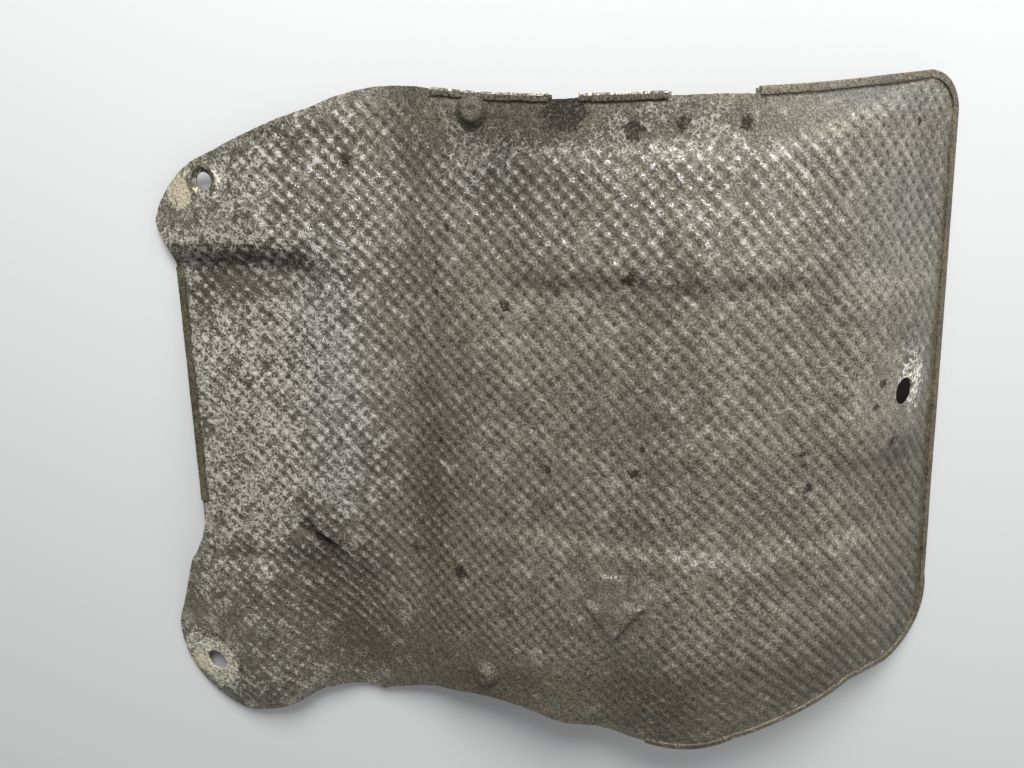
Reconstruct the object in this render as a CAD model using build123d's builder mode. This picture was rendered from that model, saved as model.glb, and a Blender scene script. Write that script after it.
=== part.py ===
from build123d import *
from math import exp, log, sqrt, tanh
import os

# Sizes in millimetres. X runs from the eared side to the hemmed side, Y along the ridge and
# Z up from the floor that the shield lies on. While it is drawn, x = 0 is the ridge line.

# Sheet and hems
sheet = 1.0
hem_width = 3.0
hem_bend = 0.6

# Roof: flat flange, rising flank, ridge, falling flank and a steeper roll at the hemmed side
flange_x = -262.0
flange_z = 7.0
flange_slope = 0.085
flank_x = -136.0
flank_slope = 0.32
flank_soft = 8.0
riser_x = -130.0
riser_height = 5.0
riser_soft = 9.0
ridge_lean = 0.04
ridge_soft = 10.0
fall_slope = 0.36
roll_x = 74.0
roll_slope = 0.80
roll_soft = 9.0

# Recess across the middle
recess_top = 51.0
recess_bottom = -75.0
recess_left = -92.0
recess_right = 58.0
recess_depth = 3.0
recess_soft = 4.0

# Raised pad round the side hole
pad_top = 49.0
pad_bottom = -36.0
pad_left = 62.0
pad_height = 4.5
pad_soft = 5.5

# Shoulder and flange along the top
shoulder_y = 62.0
shoulder_slope = 0.12
crease_y = 104.0
crease_drop = 3.2
crease_soft = 3.5
crease_left = -108.0
crease_turn_x = 32.0
crease_turn = 0.45

# Flange turned back along the bottom
turn_y = -134.0
turn_slope = 0.34
turn_soft = 7.0
turn_left = -52.0
tail_slope = 0.12

# Channel between the ears
channel_top = 60.0
channel_bottom = -101.0
channel_right = -188.0
channel_depth = 7.0
channel_rise = 0.06
channel_soft = 5.0

# Ears, the hollow beside the lower one and the pinched fold above it
lower_ear_y = -108.0
lower_ear_right = -214.0
lower_ear_height = 6.0
ear_soft = 8.0
upper_tip_slope = 0.17
lower_tip_slope = 0.24
droop_slope = 0.25
hollow_x = -176.0
hollow_width = 24.0
hollow_depth = 5.0
pinch_x = -197.0
pinch_y = -91.0
pinch_depth = 4.5
pinch_long = 12.0
pinch_wide = 5.5

# Outline
left_x = -261.0
left_top = 62.0
left_bottom = -84.0
top_left_x = -122.0
top_left_y = 135.0
top_mid_y = 128.8
corner_x = 98.0
corner_y = 137.0
right_x = 121.6
right_lean = 0.052
right_top = 122.0
right_bottom = -112.0
bottom_y = -194.0

# Gaps in the top hem and length of the left hem
notch_left = -67.0
notch_right = -55.5
notch_y = 128.2
bare_left = -18.0
bare_right = 16.5
bare_y = 127.2
left_hem_top = 55.0
left_hem_bottom = -73.0

# Holes and buttons
hole_r = 6.5
seat_r = 6.5
seat_depth = 2.4
seat_hole_r = 4.25
upper_hole_x = -239.6
upper_hole_y = 97.3
lower_hole_x = -266.3
lower_hole_y = -174.3
side_hole_x = 96.7
side_hole_y = -4.3
button_base_r = 7.0
button_top_r = 4.8
button_height = 5.0
button_round = 1.4
top_button_x = -102.7
top_button_y = 124.5
bottom_button_x = -104.7
bottom_button_y = -161.0

# Room for the tools that cut the sheet, and the least gap between two sections
margin = 18.0
press_room = 110.0
floor_gap = 30.0
section_gap = 2.5


def ramp(t, soft):
    """A bend: level before zero, then rising one for one, rounded over soft."""
    return t if t > 30 * soft else soft * log(1 + exp(t / soft))


def rise(t, soft):
    """A step from 0 to 1 centred on zero, rounded over soft."""
    return 0.5 * (1 + tanh(t / soft))


def roof(x, s):
    """Folded section. s is x measured from the leaning ridge."""
    z = flange_z + flange_slope * (x - flange_x)
    z += (flank_slope - flange_slope) * ramp(x - flank_x, flank_soft)
    z += riser_height * rise(x - riser_x, riser_soft)
    z -= (flank_slope + fall_slope) * ramp(s, ridge_soft)
    z -= (roll_slope - fall_slope) * ramp(s - roll_x, roll_soft)
    return z


def middle(x, y, s):
    """Recess and pad."""
    inside = rise(recess_top - y, recess_soft) * rise(y - recess_bottom, recess_soft)
    inside *= rise(x - recess_left, 4 * recess_soft)
    beside_pad = rise(y - pad_bottom, 2 * pad_soft)
    inside *= 1 - beside_pad * rise(x - recess_right, 3 * pad_soft)
    inside *= 1 - 0.9 * rise(s - side_hole_x - hole_r, ear_soft)
    pad = rise(pad_top - y, pad_soft) * rise(y - pad_bottom, pad_soft) * rise(s - pad_left, pad_soft)
    pad *= 1 - rise(s - side_hole_x - 2 * hole_r, pad_soft)
    return pad_height * pad - recess_depth * inside


def ends(x, y, s):
    """Shoulder and flange at the top, and the flange turned back at the bottom."""
    shoulder = shoulder_slope * ramp(y - shoulder_y, 8) * rise(pad_left - x, 14)
    crease = crease_y + crease_turn * ramp(x - crease_turn_x, 6)
    z = -rise(x - crease_left, 12) * (shoulder + crease_drop * rise(y - crease, crease_soft))
    turn = turn_y + turn_slope * ramp(-x - ridge_soft, ridge_soft)
    right = rise(x - turn_left, 14)
    z -= turn_slope * ramp(turn - y, turn_soft) * right * (1 - 0.6 * rise(s - side_hole_x, 15))
    z -= tail_slope * ramp(turn_y - turn_soft - y, 8) * (1 - right) * rise(x - channel_right, 14)
    return z


def eared_side(x, y):
    """Channel, ears, hollow and pinched fold."""
    channel = rise(channel_top - y, channel_soft) * rise(y - channel_bottom, channel_soft)
    channel *= rise(channel_right - x, 2 * channel_soft)
    z = -(channel_depth - channel_rise * (channel_top - y)) * channel
    lower = rise(lower_ear_y - y, ear_soft)
    z += lower_ear_height * lower * rise(lower_ear_right - x, ear_soft)
    z -= hollow_depth * lower * exp(-(((x - hollow_x) / hollow_width) ** 2))
    z -= upper_tip_slope * ramp(upper_hole_x - x, ear_soft) * rise(y - channel_top - 6, ear_soft)
    z -= lower_tip_slope * ramp(lower_hole_x + 20 - x, ear_soft) * lower
    z -= droop_slope * ramp(lower_hole_y - 10 - y, ear_soft) * rise(lower_ear_right + 14 - x, ear_soft)
    along = 0.76 * (x - pinch_x) - 0.65 * (y - pinch_y)
    across = 0.65 * (x - pinch_x) + 0.76 * (y - pinch_y)
    return z - pinch_depth * exp(-((along / pinch_long) ** 2) - (across / pinch_wide) ** 2)


def press(x, y):
    """Height of the sheet's upper face."""
    s = x + ridge_lean * y
    return roof(x, s) + middle(x, y, s) + ends(x, y, s) + eared_side(x, y)


def slopes(x, y):
    """Slope of the upper face along X and along Y."""
    e = 0.05
    along_x = (press(x + e, y) - press(x - e, y)) / (2 * e)
    along_y = (press(x, y + e) - press(x, y - e)) / (2 * e)
    return along_x, along_y


def height(x, y, lift):
    """Height of a face that lies parallel to the upper face, lift above it."""
    along_x, along_y = slopes(x, y)
    return press(x, y) + lift * sqrt(1 + along_x**2 + along_y**2)


def spread(first, last, bends):
    """Positions from first to last, close together at each bend or step."""
    wanted = [first, last]
    for centre, soft in bends:
        wanted += [centre + share * soft for share in (-1.6, -0.6, 0.6, 1.6)]
    kept = []
    for place in sorted(wanted):
        if first <= place <= last and (not kept or place - kept[-1] > section_gap):
            kept.append(place)
    return kept


def slab(low, high):
    """Pressed sheet between two faces parallel to the upper face, larger than the outline."""
    rows = spread(
        bottom_y - 2 * margin,
        corner_y + margin,
        [
            (crease_y, crease_soft),
            (shoulder_y + 12, 8),
            (channel_top, channel_soft),
            (recess_top, recess_soft),
            (pad_bottom, pad_soft),
            (recess_bottom, recess_soft),
            (pinch_y, pinch_wide),
            (lower_ear_y, ear_soft),
            (turn_y, turn_soft),
            (lower_hole_y - 10, ear_soft),
        ],
    )
    columns = spread(
        left_x - 2 * margin,
        right_x + margin,
        [
            (upper_hole_x, 12),
            (lower_ear_right, ear_soft),
            (channel_right, 9),
            (hollow_x, 10),
            (riser_x, riser_soft),
            (recess_left, 12),
            (turn_left, 12),
            (0, ridge_soft),
            (crease_turn_x, 6),
            (roll_x, roll_soft),
            (side_hole_x + hole_r, 9),
        ],
    )
    with BuildPart() as body:
        for y in rows:
            with BuildSketch(Plane(origin=(0, y, 0), x_dir=(1, 0, 0), z_dir=(0, -1, 0))):
                with BuildLine():
                    top = Spline([(x, height(x, y, high)) for x in columns])
                    base = Spline([(x, height(x, y, low)) for x in columns])
                    Line(top @ 0, base @ 0)
                    Line(top @ 1, base @ 1)
                make_face()
        loft(ruled=True)
    return body.part


def stand(x, y, lift=0.0):
    """A plane square to the sheet, lift above its upper face."""
    along_x, along_y = slopes(x, y)
    return Plane(origin=(x, y, press(x, y)), z_dir=(-along_x, -along_y, 1)).offset(lift)


def right_at(y):
    """X of the hemmed side edge."""
    return right_x - right_lean * y


table = Plane.XY.offset(-floor_gap)
upright = (Align.CENTER, Align.CENTER, Align.MIN)
pressed = slab(-sheet, 0)
hemmed = slab(-0.75 * sheet, sheet)

# Outer form of the two raised buttons
with BuildPart() as button:
    Cone(button_base_r, button_top_r, button_height, align=upright)
    fillet(button.edges().sort_by(Axis.Z)[-1], button_round)

# Outline of the sheet in plan, from the top edge round the two ears and back
upper_neck = (upper_hole_x + 8, upper_hole_y + 14)
upper_tip = (upper_hole_x - 30, upper_hole_y - 20)
lower_neck = (left_x - 13, lower_ear_y - 2)
lower_tip = (lower_hole_x - 23, lower_hole_y + 22)
lower_end = (lower_hole_x + 14, lower_hole_y - 34)
lower_root = (lower_ear_right + 10, lower_hole_y - 16)
bottom_bend = (84, bottom_y + 35.5)
right_foot = (right_x - 16, right_bottom - 43.5)
with BuildSketch(table) as blank:
    with BuildLine():
        ThreePointArc((top_left_x, top_left_y), (-148, 137), (-178, 130))
        ThreePointArc((-178, 130), (-206, 121.8), upper_neck)
        ThreePointArc(upper_neck, (upper_hole_x - 17, upper_hole_y), upper_tip)
        ThreePointArc(upper_tip, (left_x - 5.5, left_top + 9), (left_x, left_top))
        Line((left_x, left_top), (left_x, left_bottom))
        ThreePointArc((left_x, left_bottom), (left_x - 4, left_bottom - 13), lower_neck)
        ThreePointArc(lower_neck, (lower_neck[0] - 7, lower_neck[1] - 21), lower_tip)
        ThreePointArc(lower_tip, (lower_hole_x - 14, lower_hole_y - 13), lower_end)
        ThreePointArc(lower_end, (lower_end[0] + 23, lower_end[1] + 5), lower_root)
        ThreePointArc(lower_root, (-188, -188), (-168, -192))
        ThreePointArc((-168, -192), (-145, -184), (-118, -178))
        ThreePointArc((-118, -178), (-92, -177.5), (-65, bottom_y + 10))
        Line((-65, bottom_y + 10), (-28, bottom_y))
        ThreePointArc((-28, bottom_y), (-4, bottom_y + 0.5), (25, bottom_y + 10))
        ThreePointArc((25, bottom_y + 10), (54, bottom_y + 19), bottom_bend)
        Line(bottom_bend, right_foot)
        ThreePointArc(
            right_foot,
            (right_x, right_bottom - 31),
            (right_at(right_bottom), right_bottom),
        )
        Line((right_at(right_bottom), right_bottom), (right_at(right_top), right_top))
        ThreePointArc(
            (right_at(right_top), right_top),
            (corner_x + 10.5, corner_y - 4),
            (corner_x, corner_y),
        )
        ThreePointArc((corner_x, corner_y), (0, top_mid_y), (top_left_x, top_left_y))
    make_face()

with BuildPart() as formed:
    # The blank, pressed
    add(blank.sketch)
    extrude(amount=press_room)
    add(pressed, mode=Mode.INTERSECT)

    # Edge strips folded back onto the upper face
    with BuildPart(mode=Mode.PRIVATE) as hems:
        with BuildSketch(table):
            offset(blank.sketch, amount=hem_bend)
            offset(blank.sketch, amount=-hem_width, mode=Mode.SUBTRACT)
            with BuildSketch(table, mode=Mode.INTERSECT):
                with Locations(((top_left_x + notch_left) / 2, top_mid_y)):
                    Rectangle(notch_left - top_left_x, 2 * margin)
                with Locations(((notch_right + bare_left) / 2, top_mid_y)):
                    Rectangle(bare_left - notch_right, 2 * margin)
                with Locations((bare_right, top_mid_y)):
                    Rectangle(right_x, 2 * margin, align=(Align.MIN, Align.CENTER))
                with Locations((corner_x - 8, 0)):
                    Rectangle(3 * margin, 2 * (corner_y - bottom_y), align=(Align.MIN, Align.CENTER))
                with Locations((-20, bottom_y)):
                    Rectangle(right_x, 5 * margin, align=(Align.MIN, Align.CENTER))
                with Locations((left_x, (left_hem_top + left_hem_bottom) / 2)):
                    Rectangle(2 * margin, left_hem_top - left_hem_bottom)
        extrude(amount=press_room)
        add(hemmed, mode=Mode.INTERSECT)
    add(hems.part)

    # Notch and unhemmed stretch in the top edge
    with BuildSketch(table):
        with Locations(((notch_left + notch_right) / 2, notch_y)):
            Rectangle(notch_right - notch_left, margin, align=(Align.CENTER, Align.MIN))
        with Locations(((bare_left + bare_right) / 2, bare_y)):
            Rectangle(bare_right - bare_left, margin, align=(Align.CENTER, Align.MIN))
    extrude(amount=press_room, mode=Mode.SUBTRACT)

    # Buttons pressed up from below, hollow underneath
    for x, y in ((top_button_x, top_button_y), (bottom_button_x, bottom_button_y)):
        with Locations(stand(x, y, -0.4 * sheet)):
            add(button.part)
        with Locations(stand(x, y, -2 * sheet)):
            Cone(
                button_base_r - 0.2 * sheet,
                button_top_r - 0.8 * sheet,
                button_height + 0.6 * sheet,
                align=upright,
                mode=Mode.SUBTRACT,
            )

    # Upper ear: hole in the floor of a pressed seat
    with Locations(stand(upper_hole_x, upper_hole_y, -seat_depth - sheet)):
        Cylinder(seat_r + sheet, seat_depth + 0.6 * sheet, align=upright)
    with Locations(stand(upper_hole_x, upper_hole_y, -seat_depth)):
        Cylinder(seat_r, margin, align=upright, mode=Mode.SUBTRACT)
    with Locations(stand(upper_hole_x, upper_hole_y)):
        Cylinder(seat_hole_r, margin, mode=Mode.SUBTRACT)

    # Plain holes in the lower ear and the side pad
    with Locations(stand(lower_hole_x, lower_hole_y), stand(side_hole_x, side_hole_y)):
        Cylinder(hole_r, margin, mode=Mode.SUBTRACT)

# The origin goes to the middle of the floor area that the shield covers
box = formed.part.bounding_box()
with BuildPart() as heat_shield:
    with Locations((-box.center().X, -box.center().Y, -box.min.Z)):
        add(formed.part)

heat_shield.part.label = "heat_shield"
os.makedirs("parts", exist_ok=True)
export_step(heat_shield.part, "parts/heat_shield.step")
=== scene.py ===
import math

import bmesh
import bpy
import numpy as np
from mathutils import Matrix, Vector, kdtree


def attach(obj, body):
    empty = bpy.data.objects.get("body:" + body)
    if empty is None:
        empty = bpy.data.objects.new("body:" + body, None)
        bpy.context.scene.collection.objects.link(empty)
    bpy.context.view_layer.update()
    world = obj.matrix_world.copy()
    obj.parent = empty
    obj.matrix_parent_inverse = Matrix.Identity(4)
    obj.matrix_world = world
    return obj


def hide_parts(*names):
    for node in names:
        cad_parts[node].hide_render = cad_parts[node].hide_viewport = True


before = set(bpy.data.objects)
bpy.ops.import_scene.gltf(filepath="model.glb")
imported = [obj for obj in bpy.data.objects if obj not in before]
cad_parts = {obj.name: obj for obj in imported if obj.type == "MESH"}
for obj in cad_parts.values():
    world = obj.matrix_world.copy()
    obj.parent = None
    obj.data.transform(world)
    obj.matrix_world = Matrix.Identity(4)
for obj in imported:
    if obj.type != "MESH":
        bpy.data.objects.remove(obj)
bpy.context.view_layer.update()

bl_info = {
    "name": "Heat shield",
    "version": (1, 0, 0),
    "blender": (4, 5, 0),
    "location": "3D View > Sidebar > Shield",
    "description": "Embossed, pressed and weathered heat shield with its stage",
    "category": "Object",
}

# Lengths below are in millimetres on the drawing, whose x = 0 is the ridge line.
# A point of the drawing is moved by ORIGIN to its place on the floor.
MM = 0.001
ORIGIN = np.array((80.147, 35.35, 1.15))

# Roof
flange_x, flange_z, flange_slope = -262.0, 7.0, 0.085
flank_x, flank_slope, flank_soft = -136.0, 0.32, 8.0
riser_x, riser_height, riser_soft = -130.0, 5.0, 9.0
ridge_lean, ridge_soft, fall_slope = 0.04, 10.0, 0.36
roll_x, roll_slope, roll_soft = 74.0, 0.80, 9.0
# Recess and pad
recess_top, recess_bottom, recess_left, recess_right = 51.0, -75.0, -92.0, 58.0
recess_depth, recess_soft = 3.0, 4.0
pad_top, pad_bottom, pad_left, pad_height, pad_soft = 49.0, -36.0, 62.0, 4.5, 5.5
# Top and bottom flanges
shoulder_y, shoulder_slope = 62.0, 0.12
crease_y, crease_drop, crease_soft, crease_left = 104.0, 3.2, 3.5, -108.0
crease_turn_x, crease_turn = 32.0, 0.45
turn_y, turn_slope, turn_soft, turn_left, tail_slope = -134.0, 0.34, 7.0, -52.0, 0.12
# Channel, ears, hollow and pinched fold
channel_top, channel_bottom, channel_right = 60.0, -101.0, -188.0
channel_depth, channel_rise, channel_soft = 7.0, 0.06, 5.0
lower_ear_y, lower_ear_right, lower_ear_height, ear_soft = -108.0, -214.0, 6.0, 8.0
upper_tip_slope, lower_tip_slope, droop_slope = 0.17, 0.24, 0.25
hollow_x, hollow_width, hollow_depth = -176.0, 24.0, 5.0
pinch_x, pinch_y, pinch_depth, pinch_long, pinch_wide = -197.0, -91.0, 4.5, 12.0, 5.5
pinch_cos, pinch_sin, pinch_curl = 0.76, 0.65, 0.035
# Outline
left_x, left_top, left_bottom = -261.0, 62.0, -84.0
top_left, top_mid, corner = (-122.0, 135.0), (0.0, 128.8), (98.0, 137.0)
right_x, right_lean, right_top, right_bottom, bottom_y = 121.6, 0.052, 122.0, -112.0, -194.0
notch_left, notch_right, notch_y = -67.0, -55.5, 128.2
bare_left, bare_right, bare_y = -18.0, 16.5, 127.2
# Holes and buttons
upper_hole, lower_hole, side_hole = (-239.6, 97.3), (-266.3, -174.3), (96.7, -4.3)
top_button, bottom_button = (-102.7, 124.5), (-104.7, -161.0)
# Plain direction arrow
ARROW = [
    (-46.3, -88.5),
    (-33.0, -87.4),
    (-32.5, -102.0),
    (-24.5, -102.0),
    (-38.3, -123.0),
    (-53.0, -105.0),
    (-46.2, -104.6),
]
arrow_height, arrow_edge = 1.9, 1.8
# Unevenness of the embossed sheet and of its cut edge
fold_depth, lip_height, waviness = 2.2, 1.5, 0.16
knob_unevenness, row_drift = 0.45, 0.5
edge_roughness, edge_inset = 0.22, 0.1
# Camera: its place on the drawing, its turn about y, its tilt about x and its lens
camera_place = np.array((-57.606, 99.169, 384.145))
camera_turn, camera_tilt = math.radians(4.57395), math.radians(15.59482)
camera_lens, camera_sensor = 27.03, 36

FINISH = "weathered_sheet_with_painted_light"


# Pressed form


def ramp(t, soft):
    """A bend: level before zero, then rising one for one."""
    return soft * np.logaddexp(0, t / soft)


def rise(t, soft):
    """A step from 0 to 1 centred on zero."""
    return 0.5 * (1 + np.tanh(t / soft))


def roof(x, s):
    """Folded section of the sheet."""
    z = flange_z + flange_slope * (x - flange_x)
    z = z + (flank_slope - flange_slope) * ramp(x - flank_x, flank_soft)
    z = z + riser_height * rise(x - riser_x, riser_soft)
    z = z - (flank_slope + fall_slope) * ramp(s, ridge_soft)
    return z - (roll_slope - fall_slope) * ramp(s - roll_x, roll_soft)


def crease_at(x):
    """Y of the crease under the top flange."""
    return crease_y + crease_turn * ramp(x - crease_turn_x, 6)


def turn_at(x):
    """Y of the bend above the bottom flange."""
    return turn_y + turn_slope * ramp(-x - ridge_soft, ridge_soft)


def pinch_place(x, y):
    """Places along the pinched fold, across it, and across it as it curls."""
    along = pinch_cos * (x - pinch_x) - pinch_sin * (y - pinch_y)
    across = pinch_sin * (x - pinch_x) + pinch_cos * (y - pinch_y)
    return along, across, across - pinch_curl * (along - 2) ** 2


def press(x, y):
    """Height of the sheet's upper face, before it is embossed."""
    s = x + ridge_lean * y
    inside = rise(recess_top - y, recess_soft) * rise(y - recess_bottom, recess_soft)
    inside = inside * rise(x - recess_left, 4 * recess_soft)
    beside_pad = rise(y - pad_bottom, 2 * pad_soft)
    inside = inside * (1 - beside_pad * rise(x - recess_right, 3 * pad_soft))
    inside = inside * (1 - 0.9 * rise(s - side_hole[0] - 6.5, ear_soft))
    pad = rise(pad_top - y, pad_soft) * rise(y - pad_bottom, pad_soft) * rise(s - pad_left, pad_soft)
    pad = pad * (1 - rise(s - side_hole[0] - 13, pad_soft))
    z = roof(x, s) + pad_height * pad - recess_depth * inside

    shoulder = shoulder_slope * ramp(y - shoulder_y, 8) * rise(pad_left - x, 14)
    drop = crease_drop * rise(y - crease_at(x), crease_soft)
    z = z - rise(x - crease_left, 12) * (shoulder + drop)
    right = rise(x - turn_left, 14)
    bend = ramp(turn_at(x) - y, turn_soft)
    z = z - turn_slope * bend * right * (1 - 0.6 * rise(s - side_hole[0], 15))
    tail = tail_slope * ramp(turn_y - turn_soft - y, 8)
    z = z - tail * (1 - right) * rise(x - channel_right, 14)

    channel = rise(channel_top - y, channel_soft) * rise(y - channel_bottom, channel_soft)
    channel = channel * rise(channel_right - x, 2 * channel_soft)
    z = z - (channel_depth - channel_rise * (channel_top - y)) * channel
    lower = rise(lower_ear_y - y, ear_soft)
    z = z + lower_ear_height * lower * rise(lower_ear_right - x, ear_soft)
    z = z - hollow_depth * lower * np.exp(-(((x - hollow_x) / hollow_width) ** 2))
    upper_tip = ramp(upper_hole[0] - x, ear_soft) * rise(y - channel_top - 6, ear_soft)
    lower_tip = ramp(lower_hole[0] + 20 - x, ear_soft) * lower
    droop = ramp(lower_hole[1] - 10 - y, ear_soft) * rise(lower_ear_right + 14 - x, ear_soft)
    z = z - upper_tip_slope * upper_tip - lower_tip_slope * lower_tip - droop_slope * droop
    along, across, _ = pinch_place(x, y)
    return z - pinch_depth * np.exp(-((along / pinch_long) ** 2) - (across / pinch_wide) ** 2)


def facing(x, y):
    """Unit normals of the pressed face."""
    e = 0.1
    along_x = (press(x + e, y) - press(x - e, y)) / (2 * e)
    along_y = (press(x, y + e) - press(x, y - e)) / (2 * e)
    n = np.stack([-along_x, -along_y, np.ones_like(along_x)], -1)
    return n / np.linalg.norm(n, axis=-1, keepdims=True)


def surface(x, y, lift):
    """Points on the floor's frame, in metres, at a lift square to the pressed face."""
    points = np.stack([x, y, press(x, y)], -1) + facing(x, y) * np.asarray(lift)[..., None]
    return (points + ORIGIN) * MM


# Width of the sheet before it was pressed: distance along the roof's section
roof_places = np.linspace(-340.0, 180.0, 2601)
roof_steps = np.hypot(np.diff(roof_places), np.diff(roof(roof_places, roof_places)))
roof_lengths = np.concatenate([[0.0], np.cumsum(roof_steps)])
roof_lengths -= np.interp(0.0, roof_places, roof_lengths)


def flatten(x):
    """Place along the flat blank of a place across the drawing."""
    return np.interp(x, roof_places, roof_lengths)


def unflatten(u):
    """Place across the drawing of a place along the flat blank."""
    return np.interp(u, roof_lengths, roof_places)


# Outline


def wander(t, seed):
    """A small irregular wave between about -1 and 1."""
    phases = 1.7 * seed + np.array((0.3, 2.1, 4.4, 5.2))
    waves = [np.sin(t * k + p) for k, p in zip((0.31, 0.83, 1.9, 3.7), phases)]
    return 0.35 * waves[0] + 0.3 * waves[1] + 0.25 * waves[2] + 0.2 * waves[3]


def ripple(x, y, size, seed):
    """A smooth irregular field, mostly between -1 and 1, with features of about that size."""
    chance = np.random.default_rng(seed)
    total = np.zeros_like(x)
    for turn, phase, stretch in zip(*chance.uniform(0, 1, (3, 14))):
        k = math.tau / (2 * size) * (0.6 + 0.9 * stretch)
        way = math.tau * turn
        total += np.sin(k * (x * math.cos(way) + y * math.sin(way)) + math.tau * phase)
    return total / 4


def line(first, last, gap=1.2):
    """Points from first up to, not including, last."""
    first, last = np.array(first), np.array(last)
    count = max(2, int(np.linalg.norm(last - first) / gap))
    return first + (last - first) * (np.arange(count) / count)[:, None]


def arc(first, through, last, gap=1.2):
    """Points on the arc through three points, not including the last."""
    a, b, c = (complex(*p) for p in (first, through, last))
    d = 2 * (a.real * (b.imag - c.imag) + b.real * (c.imag - a.imag) + c.real * (a.imag - b.imag))
    sq = [abs(p) ** 2 for p in (a, b, c)]
    ux = (sq[0] * (b.imag - c.imag) + sq[1] * (c.imag - a.imag) + sq[2] * (a.imag - b.imag)) / d
    uy = (sq[0] * (c.real - b.real) + sq[1] * (a.real - c.real) + sq[2] * (b.real - a.real)) / d
    centre = complex(ux, uy)
    start, middle, end = (math.atan2((p - centre).imag, (p - centre).real) for p in (a, b, c))
    turn = (end - start) % math.tau
    if (middle - start) % math.tau > turn:
        turn -= math.tau
    radius = abs(a - centre)
    angles = start + turn * np.arange(0, 1, gap / max(gap, abs(turn) * radius))
    return np.stack([centre.real + radius * np.cos(angles), centre.imag + radius * np.sin(angles)], 1)


def right_at(y):
    """X of the hemmed side edge."""
    return right_x - right_lean * y


def drawn_outline():
    """The sheet's edge in plan, anticlockwise from the left end of the top edge."""
    upper_neck = (upper_hole[0] + 8, upper_hole[1] + 14)
    upper_tip = (upper_hole[0] - 30, upper_hole[1] - 20)
    lower_neck = (left_x - 13, lower_ear_y - 2)
    lower_tip = (lower_hole[0] - 23, lower_hole[1] + 22)
    lower_end = (lower_hole[0] + 14, lower_hole[1] - 34)
    lower_root = (lower_ear_right + 10, lower_hole[1] - 16)
    bottom_bend = (84, bottom_y + 35.5)
    foot = (right_x - 16, right_bottom - 43.5)
    side_low = (right_at(right_bottom), right_bottom)
    side_high = (right_at(right_top), right_top)
    # Each stretch: a point that its arc passes through, or None where it is straight, and its end
    stretches = [
        ((-148, 137), (-178, 130)),
        ((-206, 121.8), upper_neck),
        ((upper_hole[0] - 17, upper_hole[1]), upper_tip),
        ((left_x - 5.5, left_top + 9), (left_x, left_top)),
        (None, (left_x, left_bottom)),
        ((left_x - 4, left_bottom - 13), lower_neck),
        ((lower_neck[0] - 7, lower_neck[1] - 21), lower_tip),
        ((lower_hole[0] - 14, lower_hole[1] - 13), lower_end),
        ((lower_end[0] + 23, lower_end[1] + 5), lower_root),
        ((-188, -188), (-168, -192)),
        ((-145, -184), (-118, -178)),
        ((-92, -177.5), (-65, bottom_y + 10)),
        (None, (-28, bottom_y)),
        ((-4, bottom_y + 0.5), (25, bottom_y + 10)),
        ((54, bottom_y + 19), bottom_bend),
        (None, foot),
        ((right_x, right_bottom - 31), side_low),
        (None, side_high),
        ((corner[0] + 10.5, corner[1] - 4), corner),
    ]
    edge, pen = [], top_left
    for through, end in stretches:
        edge.append(arc(pen, through, end) if through else line(pen, end))
        pen = end
    top = arc(corner, top_mid, top_left)

    def top_at(x):
        return float(np.interp(x, top[::-1, 0], top[::-1, 1]))

    stops = [(bare_right, bare_left, bare_y), (notch_right, notch_left, notch_y)]
    for right, left, y in stops:
        edge.append(top[top[:, 0] > right + 0.2])
        edge.append(np.array([(right, top_at(right)), (right, y)]))
        edge.append(line((right - 0.8, y), (left + 0.8, y)))
        edge.append(np.array([(left, y), (left, top_at(left))]))
        top = top[top[:, 0] < left - 0.2]
    edge.append(top)
    whole = np.concatenate(edge)
    eased = whole
    for _ in range(12):
        eased = (np.roll(eased, 1, 0) + 2 * eased + np.roll(eased, -1, 0)) / 4
    return np.where(whole[:, :1] < left_x + 60, eased, whole)


OUTLINE = drawn_outline()


def outward(points):
    """Unit plan normals pointing out of an anticlockwise run of points."""
    way = np.gradient(points, axis=0)
    out = np.stack([way[:, 1], -way[:, 0]], 1)
    return out / np.linalg.norm(out, axis=1, keepdims=True)


def near(x, y, centre, wide, tall=None):
    """1 at a place, falling smoothly towards 0 past its half width and half height."""
    tall = wide if tall is None else tall
    return np.exp(-(((x - centre[0]) / wide) ** 2) - ((y - centre[1]) / tall) ** 2)


def edge_distance(x, y):
    """Distance in plan to the sheet's edge."""
    tree = kdtree.KDTree(len(OUTLINE))
    for i, (a, b) in enumerate(OUTLINE):
        tree.insert((a, b, 0.0), i)
    tree.balance()
    return np.array([tree.find((a, b, 0.0))[2] for a, b in zip(x, y)])


def polygon_depth(x, y, corners):
    """Distance inside a polygon, negative outside it."""
    inside = np.zeros(x.shape, bool)
    nearest = np.full(x.shape, 1e9)
    for (ax, ay), (bx, by) in zip(corners, corners[1:] + corners[:1]):
        t = ((x - ax) * (bx - ax) + (y - ay) * (by - ay)) / ((bx - ax) ** 2 + (by - ay) ** 2)
        t = np.clip(t, 0, 1)
        nearest = np.minimum(nearest, np.hypot(x - ax - t * (bx - ax), y - ay - t * (by - ay)))
        crosses = (ay > y) != (by > y)
        with np.errstate(divide="ignore", invalid="ignore"):
            inside ^= crosses & (x < (bx - ax) * (y - ay) / (by - ay) + ax)
    return np.where(inside, nearest, -nearest)


# Embossing, weathering and painted light


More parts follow.
